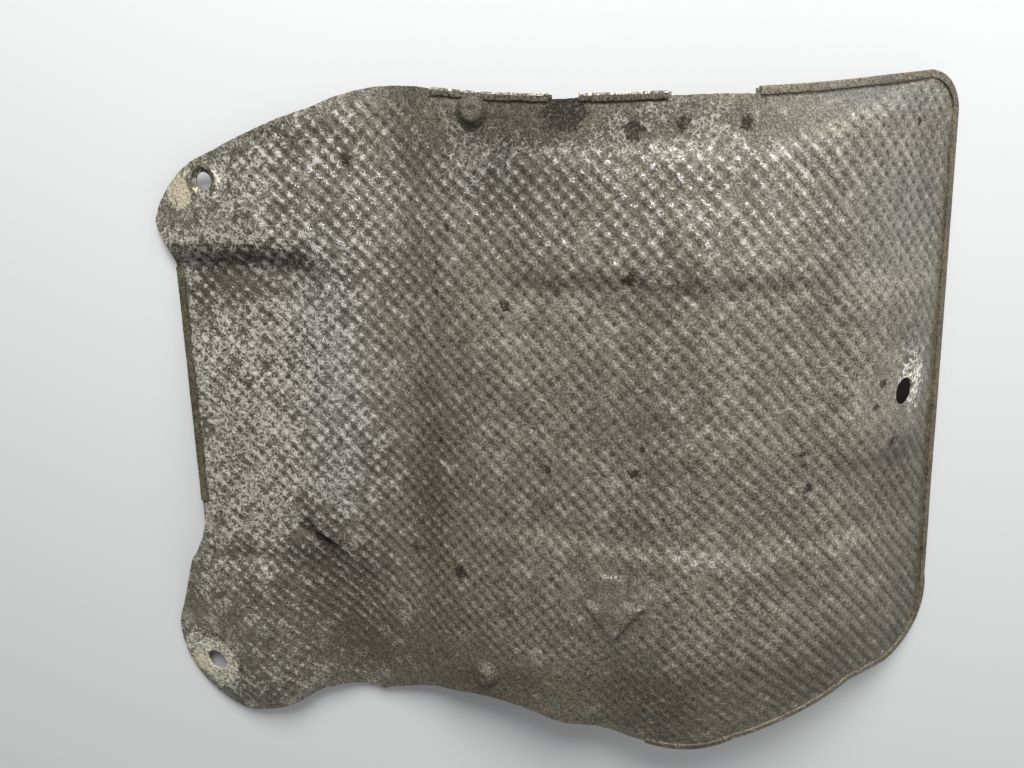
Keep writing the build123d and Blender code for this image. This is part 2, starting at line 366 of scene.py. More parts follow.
def emboss_strength(x, y, edge):
    """How deep the knobs stand: about 1 on the panel, less on flanges and ears, 0 at the rim."""
    e = 1 - 0.93 * rise(y - crease_at(x) - 3, 3.5) * rise(x + 128, 8)
    e = e * (1 - 0.8 * rise(-218 - x, 9) * rise(y - 66, 8))
    e = e * (1 - 0.12 * rise(-190 - x, 12) - 0.2 * rise(-226 - x, 10))
    e = e * (1 - 0.85 * near(x, y, (-264, -166), 42)) * (1 - 0.3 * near(x, y, (-190, -135), 40, 32))
    e = e * (1 - 0.85 * rise(-145 - y, 6) * rise(-52 - x, 10) * rise(x + 205, 10))
    e = e * (1 - 0.5 * rise(turn_at(x) - 7 - y, 5) * rise(x - turn_left, 14) * rise(55 - x, 14))
    e = e * (1 + 0.3 * rise(x - 50, 15) * rise(y - 25, 15))
    e = e * (1 - 0.95 * near(x, y, side_hole, 17)) * (1 - 0.5 * near(x, y, (90, 5), 26, 34))
    e = e * (1 - 0.45 * near(x, y, (-36, -8), 24, 26)) * (1 - 0.75 * near(x, y, (-39, -105), 26, 26))
    for place in (top_button, bottom_button):
        e = e * (1 - near(x, y, place, 13))
    return e * np.clip((edge - 2.5) / 5, 0, 1)


def cross_strength(x, y):
    """How far the rows are broken into knobs: about 0.6 on the left, less where rows run on."""
    left = 0.62 - 0.03 * rise(x + 132, 16) - 0.42 * near(x, y, (-186, -132), 42, 34)
    upper = rise(y - 5, 14) * rise(x - 66, 10)
    low_band = rise(-78 - y, 6) * rise(x - 5, 15)
    return left - 0.3 * rise(x - 12, 16) * (1 - 0.8 * upper) - 0.1 * low_band


# Dark spots on the face: place and radius
SPOTS = [
    (-124, -30, 2.2),
    (-89, 39, 3.0),
    (46, -28, 2.6),
    (47, -33, 2.0),
    (50, -45, 3.0),
    (92, -28, 2.6),
    (-30, -36, 3.4),
    (-121, 58, 1.6),
    (-115, 74, 2.0),
    (-122, 54, 1.5),
    (-122, 44, 1.8),
    (-34, 53, 3.6),
    (-164, 106, 3.4),
    (-116, -101, 4.4),
    (-70, -39, 2.8),
    (83, 2, 2.6),
    (80, -9, 2.0),
    (-141, -93, 2.6),
    (-33, 114, 5.2),
    (-13, 116, 3.4),
    (13, 116, 3.6),
    (92, 116, 1.8),
    (-27, -23, 2.4),
    (-191, -95, 5.0),
]

# Soft patches of weathering, painted shade and painted glints: strength, place, half width and half height
OXIDE = [
    (0.25, (-150, 118), 26, 12),
    (0.9, (-15, 105), 42, 7),
    (0.8, (-106, 99), 15, 9),
    (1.1, (-104, 114), 17, 9),
    (0.9, (-70, 108), 34, 6),
    (1.0, (-18, 118), 36, 7),
    (0.4, (-262, -105), 18, 18),
    (0.12, (-245, -140), 30, 40),
    # Painted highlight along the arrow's upper edge, laid on as oxide
    (1.2, (-39.5, -88.2), 6, 1.3),
    (1.3, (101, 3), 10, 17),
    (0.4, (-236, 71), 26, 3),
]
OXIDE_GAPS = [
    (0.8, (-182, 90), 40, 30),
    (0.7, (-236, 116), 22, 8),
    (0.25, (-240, -150), 40, 34),
    (0.6, (-232, 47), 30, 13),
]
STAIN = [
    (1.2, (-127, -68), 14, 56),
    (0.8, (-186, -98), 16, 12),
    (0.9, (-105, -165), 62, 22),
    (0.9, (-35, -166), 62, 20),
    (0.95, (-112, 122), 22, 16),
    (0.8, (-80, 118), 28, 14),
    (0.8, (-185, 115), 30, 8),
    (0.85, (-240, 36), 17, 28),
    (0.95, (-184, -132), 26, 34),
    (0.85, (-12, 120), 56, 10),
    (0.45, (-262, -140), 14, 16),
    (0.85, (-222, 57), 32, 7),
    (0.55, (60, -150), 60, 18),
    (0.5, (-128, 60), 9, 60),
]
GRIME = [
    (1.7, (-61.5, 123), 9.5, 8),
    (0.37, (-38, -158), 58, 26),
    (0.5, (-204, 119), 22, 4),
    (0.6, (-194, 56), 14, 5),
    (0.42, (-60, -184), 60, 5),
]
SHADE = [
    (0.8, (-188, -130), 28, 46),
    (0.5, (-128, -70), 12, 60),
    (0.9, (-92, 110), 36, 28),
    (0.25, (-20, 122), 60, 8),
    (0.6, (-232, 48), 28, 12),
    (0.25, (112, -60), 26, 80),
    (0.25, (60, -140), 60, 30),
    (0.4, (118, -110), 16, 50),
    (0.35, (104, -45), 20, 22),
]
CRUST = [
    (0.66, (99, 1.5), 8.5, 12),
    (0.25, (105, -4), 8, 22),
    (0.95, lower_hole, 14.5, 14.5),
    (0.45, (-262, -190), 14, 10),
    (0.6, (-281, -168), 9, 13),
    (0.75, (-233, 99), 6, 9),
]
CREAM = [
    (1.0, (-251, 93), 8, 11),
    (0.8, (-279, -178), 10, 11),
    (0.5, (-253, -172), 6, 8),
]
# Painted glints on knob tops
GLINT_PATCHES = [
    (1.3, (-180, 10), 20, 62),
    (1.1, (-175, 88), 44, 36),
]
BLUE = [
    (1.0, (-180, -5), 15, 58),
    (0.6, (86, 76), 36, 42),
    (0.7, (103, 2), 12, 22),
]


def spread(x, y, patches):
    """Sum of soft patches."""
    return sum(strength * near(x, y, *patch) for strength, *patch in patches)


def bell(t, soft):
    """1 at zero, falling smoothly to both sides."""
    return np.exp(-((t / soft) ** 2))


def ear_fold(x, y):
    """Height over the fold under the upper ear, and 1 along its crisp stretch."""
    fold = channel_top + 8.5 - 0.24 * ramp(x + 214, 5)
    return y - fold, rise(x + 268, 6) * rise(-176 - x, 8)


def oxide_film(x, y):
    """Pale oxide, thickest left of the flank and along the top flange."""
    side = rise(-165 - x, 16) * (0.35 + 0.65 * rise(y + 88, 16))
    side = side * (1 - 0.85 * near(x, y, (-184, -130), 36, 40))
    band = 0.3 * rise(y - 60, 16) * rise(crease_at(x) + 2 - y, 6) * rise(48 - x, 25)
    film = (side + band) * (1 - 0.8 * near(x, y, (-252, 84), 16, 14))
    film = film + 0.2 * rise(-140 - x, 12) + spread(x, y, OXIDE)
    for strength, *patch in OXIDE_GAPS:
        film = film * (1 - strength * near(x, y, *patch))
    return film


def grime_and_fold_shade(x, y):
    """Grime in spots and round the lower hole, with painted shade in the pinched fold and along the fold
    under the upper ear.
    """
    layers = [strength * near(x, y, *patch) for strength, *patch in GRIME]
    layers += [1.22 * near(x, y, (a, b), 0.9 * size) for a, b, size in SPOTS]
    along, _, bent = pinch_place(x, y)
    # Painted shade along the pinched fold
    layers.append(1.2 * bell(bent + 0.8, 2.8) * bell(along - 5, 7))
    over_fold, crisp = ear_fold(x, y)
    # Painted shade along the fold under the upper ear
    layers.append(0.85 * crisp * bell(over_fold + 2.5, 1.2))
    ring = np.hypot(x - lower_hole[0], y - lower_hole[1])
    layers.append(0.5 * bell(ring - 17, 4))
    return np.maximum.reduce(layers)


def soft_shade(x, y):
    """Darker places in hollows, below folds and under the lower rim of the arrow."""
    shade = spread(x, y, SHADE)
    shade = shade + 0.2 * rise(y - 68, 18) * rise(x + 140, 18) * rise(60 - x, 30)
    shade = shade + 0.4 * rise(-150 - y, 10) * rise(x + 210, 14) * rise(-50 - x, 20)
    along, _, bent = pinch_place(x, y)
    shade = shade + 0.9 * bell(bent + 4, 6) * bell(along - 6, 15)
    over_fold, crisp = ear_fold(x, y)
    shade = shade + 0.95 * crisp * bell(over_fold + 8, 5)
    inset = polygon_depth(x, y, ARROW)
    below = np.clip((polygon_depth(x - 0.8, y + 1.5, ARROW) - inset) / 1.5, 0, 1)
    return shade + 1.1 * below * bell(inset + 0.4, 1.4)


def glint_places(x, y):
    """Where glints are painted on the knob tops: most on the shoulder and on the left."""
    shoulder = rise(y - 62, 14) * rise(crease_at(x) + 6 - y, 5) * rise(x + 150, 20) * rise(52 - x, 18)
    shine = 0.12 + 1.1 * shoulder + spread(x, y, GLINT_PATCHES) + 0.7 * rise(-165 - x, 16)
    return shine + 0.4 * rise(40 - x, 30) + 0.15 * rise(x - 62, 14) * rise(y - 40, 30)


def edge_film(x, y):
    """Olive film on the side hem and on the left hem."""
    side = rise(x - right_at(y) + 6.5 + 1.2 * wander(0.5 * y, 3), 1.2) * rise(96 - y, 40)
    left = 0.9 * rise(left_x + 3.2 - x, 0.5) * rise(58 - y, 2) * rise(y + 76, 2)
    return np.maximum(side, left)


def wear_and_painted_light(x, y):
    """Named patches of weathering, painted shade and painted glints, each near 0 where there is none."""
    corner_blue = 0.9 * near(x, y, (66, 126), 34, 8) * rise(132 - y, 3)
    return {
        "oxide": oxide_film(x, y),
        "stain": spread(x, y, STAIN),
        "grime": grime_and_fold_shade(x, y),
        "shade": soft_shade(x, y),
        "crust": np.minimum(spread(x, y, CRUST), 0.64) + 0.4 * near(x, y, lower_hole, 11),
        "cream": spread(x, y, CREAM),
        "shine": glint_places(x, y),
        "blue": spread(x, y, BLUE) + corner_blue,
        "olive": edge_film(x, y),
    }


# Properties


def length(name, about, metres):
    """A size in metres that a user can change."""
    return bpy.props.FloatProperty(name=name, description=about, default=metres, unit="LENGTH")


def tint(name, about, colour):
    """A colour that a user can change."""
    return bpy.props.FloatVectorProperty(name=name, description=about, default=colour, subtype="COLOR")


class ShieldSizes(bpy.types.PropertyGroup):
    """Sizes of the visible pieces."""

    sheet: length("Sheet", "Thickness of the sheet", 0.001)
    pitch: length("Knob pitch", "Distance between rows of knobs", 0.0054)
    emboss: length("Knob height", "Height of a knob over its valley", 0.001)
    hole: length("Hole radius", "Radius of the plain holes", 0.0065)
    seat_hole: length("Seat hole radius", "Radius of the hole in the seat", 0.00425)
    seat_depth: length("Seat depth", "Depth of the pressed seat", 0.0024)
    button_base: length("Button base", "Radius at a button's foot", 0.007)
    button_top: length("Button top", "Radius at a button's top", 0.0048)
    button_height: length("Button height", "Height of a button", 0.0046)
    hem_width: length("Hem width", "Width of the folded edge", 0.003)


class ShieldColours(bpy.types.PropertyGroup):
    """Colours of the weathered metal and of the stage."""

    metal: tint("Metal", "Aged sheet", (0.226, 0.208, 0.162))
    # Darker colour for the valleys between knobs
    valley_tone: tint("Dirt", "Dirt in the valleys", (0.062, 0.054, 0.039))
    # Light colour of the painted glints on knob tops
    glint: tint("Rubbed metal", "Bright tops", (0.66, 0.65, 0.61))
    oxide: tint("Oxide", "Pale oxide film", (0.60, 0.575, 0.51))
    stain: tint("Stain", "Brown stain", (0.128, 0.105, 0.072))
    # Black of the dark spots, the pits and the painted shade lines
    grime: tint("Grime", "Black grime", (0.032, 0.025, 0.017))
    crust: tint("Crust", "White corrosion", (0.82, 0.79, 0.70))
    cream: tint("Cream crust", "Yellowish corrosion", (0.78, 0.69, 0.49))
    olive: tint("Edge film", "Olive film on the side edge", (0.115, 0.098, 0.058))
    floor: tint("Floor", "Pale floor", (0.70, 0.71, 0.71))


# Shader helpers


class Wire:
    """A socket that can be used in sums."""

    def __init__(self, finish, socket):
        self.finish = finish
        self.socket = socket

    def maths(self, operation, other, swap=False):
        """A Math node on this socket and another value, or the other way round."""
        pair = {0: other, 1: self} if swap else {0: self, 1: other}
        return self.finish.node("ShaderNodeMath", {"operation": operation}, pair)

    def __add__(self, other):
        return self.maths("ADD", other)

    __radd__ = __add__

    def __sub__(self, other):
        return self.maths("SUBTRACT", other)

    def __rsub__(self, other):
        return self.maths("SUBTRACT", other, True)

    def __mul__(self, other):
        return self.maths("MULTIPLY", other)

    __rmul__ = __mul__


class Finish:
    """A material under construction."""

    def __init__(self, name):
        self.material = bpy.data.materials.new(name)
        self.material.use_nodes = True
        self.tree = self.material.node_tree
        self.shader = self.tree.nodes["Principled BSDF"]

    def node(self, kind, settings, sockets, output=0):
        """Adds a node with its settings, then its socket values or links."""
        made = self.tree.nodes.new(kind)
        for key, value in settings.items():
            if key == "stops":
                made.color_ramp.elements[1].position = 1.0
                for place, colour in value[1:-1]:
                    made.color_ramp.elements.new(place).color = (*colour, 1)
                for element, (place, colour) in zip(made.color_ramp.elements, value):
                    element.position = place
                    element.color = (*colour, 1)
            else:
                setattr(made, key, value)
        for key, value in sockets.items():
            self.feed(made.inputs[key], value)
        return Wire(self, made.outputs[output])

    def feed(self, socket, value):
        """Links a wire to a socket, or sets its value."""
        if isinstance(value, Wire):
            self.tree.links.new(value.socket, socket)
        elif socket.type == "RGBA" and len(value) == 3:
            socket.default_value = (*value, 1)
        else:
            socket.default_value = value

    def place(self):
        """Object coordinates."""
        return self.node("ShaderNodeTexCoord", {}, {}, "Object")

    def patch(self, name):
        """A named wear patch of the piece."""
        return self.node("ShaderNodeAttribute", {"attribute_name": name}, {}, "Fac")

    def noise(self, place, size, detail=3.0, rough=0.55, twist=0.0):
        """Noise whose features are about size millimetres."""
        values = {"Vector": place, "Scale": 1 / (size * MM), "Detail": detail}
        values.update({"Roughness": rough, "Distortion": twist})
        return self.node("ShaderNodeTexNoise", {}, values)

    def step(self, value, low, high, top=1.0):
        """Smooth step from 0 at low to top at high."""
        values = {"Value": value, "From Min": low, "From Max": high, "To Min": 0.0, "To Max": top}
        return self.node("ShaderNodeMapRange", {"interpolation_type": "SMOOTHSTEP"}, values)

    def mix(self, share, first, second):
        """Colour between first and second."""
        return self.node("ShaderNodeMix", {"data_type": "RGBA"}, {0: share, 6: first, 7: second}, 2)


def scaled(colour, factor, cast=(1, 1, 1)):
    """A colour made lighter or darker, with a cast."""
    return tuple(min(1.0, c * factor * t) for c, t in zip(colour, cast))


def sway(base, *terms):
    """A value moved up and down by textures, each with its share and centred on a half."""
    for share, texture in terms:
        base = base + share * (texture - 0.5)
    return base


def weathered_metal_with_painted_light(name):
    """Aged aluminium with oxide, stains, black spots and darker knob valleys, with painted glints on knob
    tops and painted shade.
    """
    colours = bpy.context.scene.shield_colours
    f = Finish(name)
    place = f.place()
    broad = f.noise(place, 46, 3)
    middle = f.noise(place, 9, 4, 0.6)
    lace = f.noise(place, 4.2, 6, 0.68, 0.6)
    fine = f.noise(place, 1.7, 5, 0.72)
    flake = f.noise(place, 2.0, 3, 0.62, 0.5)
    speck = f.step(f.noise(place, 1.1, 3, 0.6, 0.8), 0.34, 0.66)
    pepper = f.step(f.noise(place, 0.62, 2, 0.6, 0.6), 0.34, 0.66)
    curl = f.noise(place, 2.7, 1.5, 0.5, 0.5) - 0.5
    thread = f.step(curl * curl, 0.0055, 0.0008)
    pit = f.step(f.noise(place, 1.9, 1, 0.5, 0.3), 0.7, 0.76)
    knob = f.patch("knob")
    oxide = f.patch("oxide")
    blue = f.patch("blue")

    # Aged metal, bluer in places, with knob tops lighter and valleys darker as painted light on the relief
    metal = tuple(colours.metal)
    tone = sway(0.5, (0.34, speck), (0.4, pepper), (0.65, middle), (0.5, fine), (0.4, broad), (0.24, knob))
    tone = tone - 0.1 * f.step(oxide, 0.2, 1.0)
    stops = [
        (0.08, scaled(metal, 0.28, (1, 0.95, 0.86))),
        (0.34, scaled(metal, 0.6, (1, 0.98, 0.93))),
        (0.54, metal),
        (0.72, scaled(metal, 1.5)),
        (0.92, scaled(metal, 2.4, (1, 1, 1.04))),
    ]
    colour = f.node("ShaderNodeValToRGB", {"stops": stops}, {"Fac": tone})
    cool = f.mix(tone, scaled(metal, 0.6, (0.9, 1, 1.25)), scaled(metal, 2.0, (0.9, 1, 1.25)))
    colour = f.mix(blue * 0.55, colour, cool)

    # Darker colour in the valleys between knobs, and brown stain
    groove = f.step(sway(knob, (0.35, fine), (0.35, lace), (0.15, speck)), 0.34, 0.06, 0.74)
    colour = f.mix(groove, colour, tuple(colours.valley_tone))
    stain = f.patch("stain") * f.step(sway(middle, (0.7, lace)), 0.3, 0.58, 0.88)
    mottle = f.step(sway(tone, (0.7, lace), (0.5, flake)), 0.22, 0.78)
    brown = f.mix(mottle, scaled(colours.stain, 0.3), scaled(colours.stain, 2.0))
    colour = f.mix(stain, colour, brown)

    # Pale oxide in flakes and threads
    film = sway(0.1 * oxide + flake, (0.45, lace), (0.4, knob), (0.14, speck), (0.4, middle))
    film = f.step(film, 0.64, 0.78) * f.step(oxide, 0.0, 0.6, 0.62)
    threads = thread * f.step(sway(oxide * 0.42, (1.8, middle), (1.4, lace), (0.3, knob)), 0.1, 0.5)
    pale = f.mix(blue * 0.6, tuple(colours.oxide), scaled(colours.oxide, 0.92, (0.92, 0.98, 1.12)))
    thick = f.step(sway(flake, (0.4, speck)), 0.4, 0.75)
    pale = f.mix(thick, scaled(colours.oxide, 0.62, (1, 0.98, 0.93)), pale)
    white = f.step(film + threads, 0.0, 1.1)
    colour = f.mix(white * 0.88, colour, pale)

    # Film on the edges, painted glints on knob tops, painted shade and pits
    film_tone = f.mix(mottle, scaled(colours.olive, 0.45), scaled(colours.olive, 1.9))
    colour = f.mix(f.patch("olive") * f.step(fine, 0.2, 0.5, 0.92), colour, film_tone)
    # Painted glints: a light colour on knob tops, where the metal is also made smoother and more metallic
    shine = f.patch("shine") * f.step(sway(lace, (0.4, middle)), 0.34, 0.62)
    glint = f.step(sway(knob, (0.6, flake), (0.3, speck)) + 0.1 * shine, 0.82, 0.97) * shine
    colour = f.mix(glint, colour, tuple(colours.glint))
    dim = 1 - 0.55 * f.patch("shade") * f.step(middle, 0.15, 0.55)
    colour = f.node("ShaderNodeVectorMath", {"operation": "SCALE"}, {"Vector": colour, "Scale": dim})
    colour = f.mix(pit * 0.8, colour, tuple(colours.grime))

    # White and cream corrosion, then black spots and smears, with lines of painted shade in folds and in
    # the hems' gap, over all
    crust = f.step(sway(f.patch("crust"), (0.8, flake), (1.5, lace)), 0.36, 0.58, 0.95)
    yellowed = f.step(lace - 0.3 * blue, 0.45, 0.62)
    chalk = f.mix(yellowed, scaled(colours.crust, 1.1), scaled(colours.cream, 1.15))
    whole = f.step(sway(flake, (0.3, speck)), 0.36, 0.62)
    colour = f.mix(crust, colour, f.mix(whole, scaled(colours.crust, 0.25, (1, 0.94, 0.8)), chalk))
    cream = f.step(sway(f.patch("cream"), (1.4, flake), (0.5, lace)), 0.38, 0.62)
    curd = f.mix(speck, scaled(colours.cream, 0.62), scaled(colours.cream, 1.1))
    colour = f.mix(cream * 0.88, colour, curd)
    grime = f.step(sway(f.patch("grime"), (2.2, flake), (1.3, fine)), 0.55, 0.72, 0.95)
    browned = f.step(sway(lace, (0.5, speck)), 0.48, 0.85)
    colour = f.mix(grime, colour, f.mix(browned, scaled(colours.grime, 0.5), colours.stain))

    f.feed(f.shader.inputs["Base Color"], colour)
    dull = f.step(crust + grime + white * 0.8 + stain * 0.7, 0.0, 1.0)
    f.feed(f.shader.inputs["Metallic"], (0.4 + 0.45 * glint) * (1 - 0.85 * dull))
    f.feed(f.shader.inputs["Roughness"], 0.5 + 0.25 * dull - 0.2 * glint + 0.25 * (fine - 0.5))
    f.shader.inputs["Specular IOR Level"].default_value = 0.35
    height = 0.3 * speck + 0.8 * lace + 0.6 * fine + 0.7 * white + 1.4 * crust + 0.7 * grime
    values = {"Height": height, "Strength": 0.8, "Distance": 0.0004}
    f.feed(f.shader.inputs["Normal"], f.node("ShaderNodeBump", {}, values))
    return f.material


# Modelling helpers


def only(*objects):
    """Selects these objects alone, or nothing."""
    bpy.ops.object.select_all(action="DESELECT")
    for item in objects:
        item.select_set(True)
    if objects:
        bpy.context.view_layer.objects.active = objects[0]


def added(name):
    """The object that the last operator added, named and with its place in its mesh."""
    piece = bpy.context.view_layer.objects.active
    piece.name = name
    piece.data.name = name
    settle()
    return piece


def settle():
    """Moves the place of the selected object into its mesh."""
    bpy.ops.object.transform_apply(location=True, rotation=True, scale=True)


def points_of(piece):
    """Vertex positions in millimetres."""
    flat = np.empty(3 * len(piece.data.vertices))
    piece.data.vertices.foreach_get("co", flat)
    return flat.reshape(-1, 3) / MM


def place_points(piece, metres):
    """Moves the vertices."""
    piece.data.vertices.foreach_set("co", np.asarray(metres, np.float32).ravel())
    piece.data.update()


def finish_with(piece, kind, **settings):
    """Adds a modifier and applies it."""
    modifier = piece.modifiers.new(kind.title(), kind)
    for key, value in settings.items():
        setattr(modifier, key, value)
    only(piece)
    bpy.ops.object.modifier_apply(modifier=modifier.name)


def edit_all():
    """Goes into edit mode with the whole mesh selected."""
    bpy.ops.object.mode_set(mode="EDIT")
    bpy.ops.mesh.select_all(action="SELECT")


def pick(piece, faces=None, edges=None):
    """Goes into edit mode with only these faces or edges selected."""
    only(piece)
    bpy.ops.object.mode_set(mode="EDIT")
    bpy.ops.mesh.select_all(action="DESELECT")
    mesh = bmesh.from_edit_mesh(piece.data)
    bpy.ops.mesh.select_mode(type="FACE" if faces else "EDGE")
    for item in mesh.faces if faces else mesh.edges:
        if (faces or edges)(item):
            item.select_set(True)
    bmesh.update_edit_mesh(piece.data)


def done():
    """Leaves edit mode."""
    bpy.ops.object.mode_set(mode="OBJECT")


def thicken(height):
    """Extrudes the flat active piece upwards, or downwards, to a block."""
    edit_all()
    bpy.ops.mesh.extrude_region_move(TRANSFORM_OT_translate={"value": (0, 0, height)})
    bpy.ops.mesh.select_all(action="SELECT")
    bpy.ops.mesh.normals_make_consistent(inside=False)
    done()


def smooth(piece, degrees=50):
    """Smooth shading, sharp where faces meet at more than an angle."""
    only(piece)
    bpy.ops.object.shade_smooth_by_angle(angle=math.radians(degrees))


def keep(piece):
    """Material, body, node and slot of a finished piece."""
    piece.data.materials.clear()
    piece.data.materials.append(bpy.data.materials[FINISH])
    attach(piece, "root")
    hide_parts("heat_shield")


def own(piece, knob):
    """Gives a piece its patches of weathering and painted light, its finish and its place on the shield.
    """
    points = points_of(piece) - ORIGIN
    patches = wear_and_painted_light(points[:, 0], points[:, 1])
    for name in (*patches, "knob"):
        piece.data.attributes.new(name, "FLOAT", "POINT")
    set_patches(piece, knob=knob, **patches)
    keep(piece)


def set_patches(piece, **patches):
    """Sets patches of weathering and painted light of a piece, each to one value or to one per vertex."""
    for name, value in patches.items():
        values = np.full(len(piece.data.vertices), value, np.float32)
        piece.data.attributes[name].data.foreach_set("value", values)


def turned(name, rings, vertices=48, closed=False):
    """A round piece: a circle extruded through rings of (radius, height) in metres."""
    only()
    radius, height = rings[0]
    bpy.ops.mesh.primitive_circle_add(vertices=vertices, radius=radius, location=(0, 0, height))
    piece = added(name)
    bpy.ops.object.mode_set(mode="EDIT")
    bpy.ops.mesh.select_mode(type="VERT")
    bpy.ops.mesh.select_all(action="SELECT")
    for next_radius, next_height in rings[1:]:
        bpy.ops.mesh.extrude_region_move(TRANSFORM_OT_translate={"value": (0, 0, next_height - height)})
        share = next_radius / radius
        bpy.ops.transform.resize(value=(share, share, 1), center_override=(0, 0, next_height))
        radius, height = next_radius, next_height
    if not closed:
        bpy.ops.mesh.edge_face_add()
    done()
    weld()
    return piece


def weld():
    """Merges the active piece's doubles and turns its faces outwards."""
    edit_all()
    bpy.ops.mesh.remove_doubles(threshold=1e-6)
    bpy.ops.mesh.normals_make_consistent(inside=False)
    done()


def stand(piece, place):
    """Stands a piece that was made upright at the origin square on the sheet."""
    x, y = np.array([place[0]]), np.array([place[1]])
    up = Vector(facing(x, y)[0])
    foot = Vector(surface(x, y, np.zeros(1))[0])
    piece.matrix_world = Matrix.Translation(foot) @ up.to_track_quat("Z", "Y").to_matrix().to_4x4()
    only(piece)
    settle()


# Pieces and stage


class SHIELD_OT_finish(bpy.types.Operator):
    """Make the weathered finish, with its painted shade and painted glints"""

    bl_idname = "shield.finish"
    bl_label = "Weathered finish"

    def execute(self, context):
        weathered_metal_with_painted_light(FINISH)
        return {"FINISHED"}


class SHIELD_OT_sheet(bpy.types.Operator):
    """Emboss, cut and press the sheet"""

    bl_idname = "shield.sheet"
    bl_label = "Pressed sheet"

    def cutter(self):
        """A block with the outline of the flat blank."""
        edge = np.stack([flatten(OUTLINE[:, 0]), OUTLINE[:, 1]], 1)
        rough = edge_roughness * wander(np.arange(len(edge)) * 0.9, 1)
        edge = edge + outward(edge) * (rough - edge_inset)[:, None]
        only()
        bpy.ops.mesh.primitive_circle_add(vertices=len(edge), radius=0.2, fill_type="NGON")
        block = added("blank")
        reach = 4.0
        place_points(block, np.column_stack([edge, np.full(len(edge), -reach)]) * MM)
        thicken(2 * reach * MM)
        return block

    def drill(self, place, radius):
        """A plug for a round hole in the flat blank."""
        only()
        spot = (float(flatten(place[0])) * MM, place[1] * MM, 0)
        bpy.ops.mesh.primitive_cylinder_add(vertices=64, radius=radius, depth=0.01, location=spot)
        return added("drill")

    def blank(self, sizes, middle, span):
        """The flat sheet, cut to its outline and drilled; its mesh runs along the rows of knobs."""
        step = sizes.pitch / 4
        cells = 2 * math.ceil(span / step / 2)
        only()
        bpy.ops.mesh.primitive_grid_add(
            x_subdivisions=cells,
            y_subdivisions=cells,
            size=cells * step,
            location=(middle[0] * MM, middle[1] * MM, 0),
            rotation=(0, 0, math.radians(45)),
        )
        sheet = added("pressed_sheet")
        finish_with(sheet, "SOLIDIFY", thickness=sizes.sheet, offset=-1.0)
        block = self.cutter()
        finish_with(sheet, "BOOLEAN", object=block, operation="INTERSECT", solver="MANIFOLD")
        plugs = [self.drill(p, sizes.hole) for p in (upper_hole, lower_hole, side_hole)]
        plugs += [self.drill(p, sizes.button_base - 0.0004) for p in (top_button, bottom_button)]
        for plug in plugs:
            finish_with(sheet, "BOOLEAN", object=plug, operation="DIFFERENCE", solver="MANIFOLD")
        for spare in [block, *plugs]:
            bpy.data.objects.remove(spare)
        if len(sheet.data.vertices) < 1000:
            raise RuntimeError("the blank was not cut")
        return sheet

    def execute(self, context):
        sizes = context.scene.shield_sizes
        low, high = OUTLINE.min(0), OUTLINE.max(0)
        ends = flatten(np.array([low[0], high[0]]))
        middle = (float(ends.mean()), float(low[1] + high[1]) / 2)
        span = (ends[1] - ends[0] + high[1] - low[1]) / math.sqrt(2) * MM + 0.01
        sheet = self.blank(sizes, middle, span)

        u, y, depth = points_of(sheet).T
        x = unflatten(u)
        edge = edge_distance(x, y)
        depth_in = polygon_depth(x, y, ARROW)
        arrow = np.clip((depth_in + arrow_edge / 2) / arrow_edge, 0, 1)
        arrow = arrow * arrow * (3 - 2 * arrow)
        strength = emboss_strength(x, y, edge)
        strength = strength * (1 - 0.85 * arrow) * (1 + knob_unevenness * ripple(u, y, 8, 4))
        turns = math.tau / (sizes.pitch / MM) / math.sqrt(2)
        drift = row_drift * ripple(u, y, 24, 5)
        rows = np.cos(turns * ((u - middle[0]) + (y - middle[1])) + drift)
        share = cross_strength(x, y)
        wave = rows + share * np.cos(turns * ((u - middle[0]) - (y - middle[1])) - drift)
        along, _, bent = pinch_place(x, y)
        fold = np.exp(-((bent / 2.2) ** 2) - ((along - 2) / 7) ** 2)
        lip = np.exp(-(((bent - 5) / 3) ** 2) - ((along - 1) / 10) ** 2)
        lift = sizes.emboss / MM * wave / 4 * strength
        lift = lift + arrow_height * arrow - fold_depth * fold + lip_height * lip
        lift = lift + waviness * ripple(u, y, 24, 6) * np.clip(edge / 10, 0, 1)
        place_points(sheet, surface(x, y, depth + lift))
        knob = 0.5 + 0.5 * wave / (1 + share) * np.sqrt(np.clip(strength, 0, 1))
        # The arrow's rim is counted as a knob top, so it takes the knobs' lighter tone and painted glints
        rim = arrow * (1 - np.clip(depth_in / 3, 0, 1))
        own(sheet, np.clip(knob + 0.4 * rim, 0, 1))

        half = -0.5 * sizes.sheet / MM
        under = np.array([depth[list(p.vertices)].max() < half for p in sheet.data.polygons])
        pick(sheet, faces=lambda face: under[face.index])
        bpy.ops.mesh.separate(type="SELECTED")
        done()
        back = [o for o in context.selected_objects if o is not sheet][0]
        back.name = back.data.name = "underside"
        keep(back)
        set_patches(back, oxide=0.12, stain=0.25, shade=0.2, shine=0.1)
        set_patches(back, grime=0.0, crust=0.0, cream=0.0, blue=0.0, olive=0.0)
        for piece in (sheet, back):
            smooth(piece, 55)
        return {"FINISHED"}


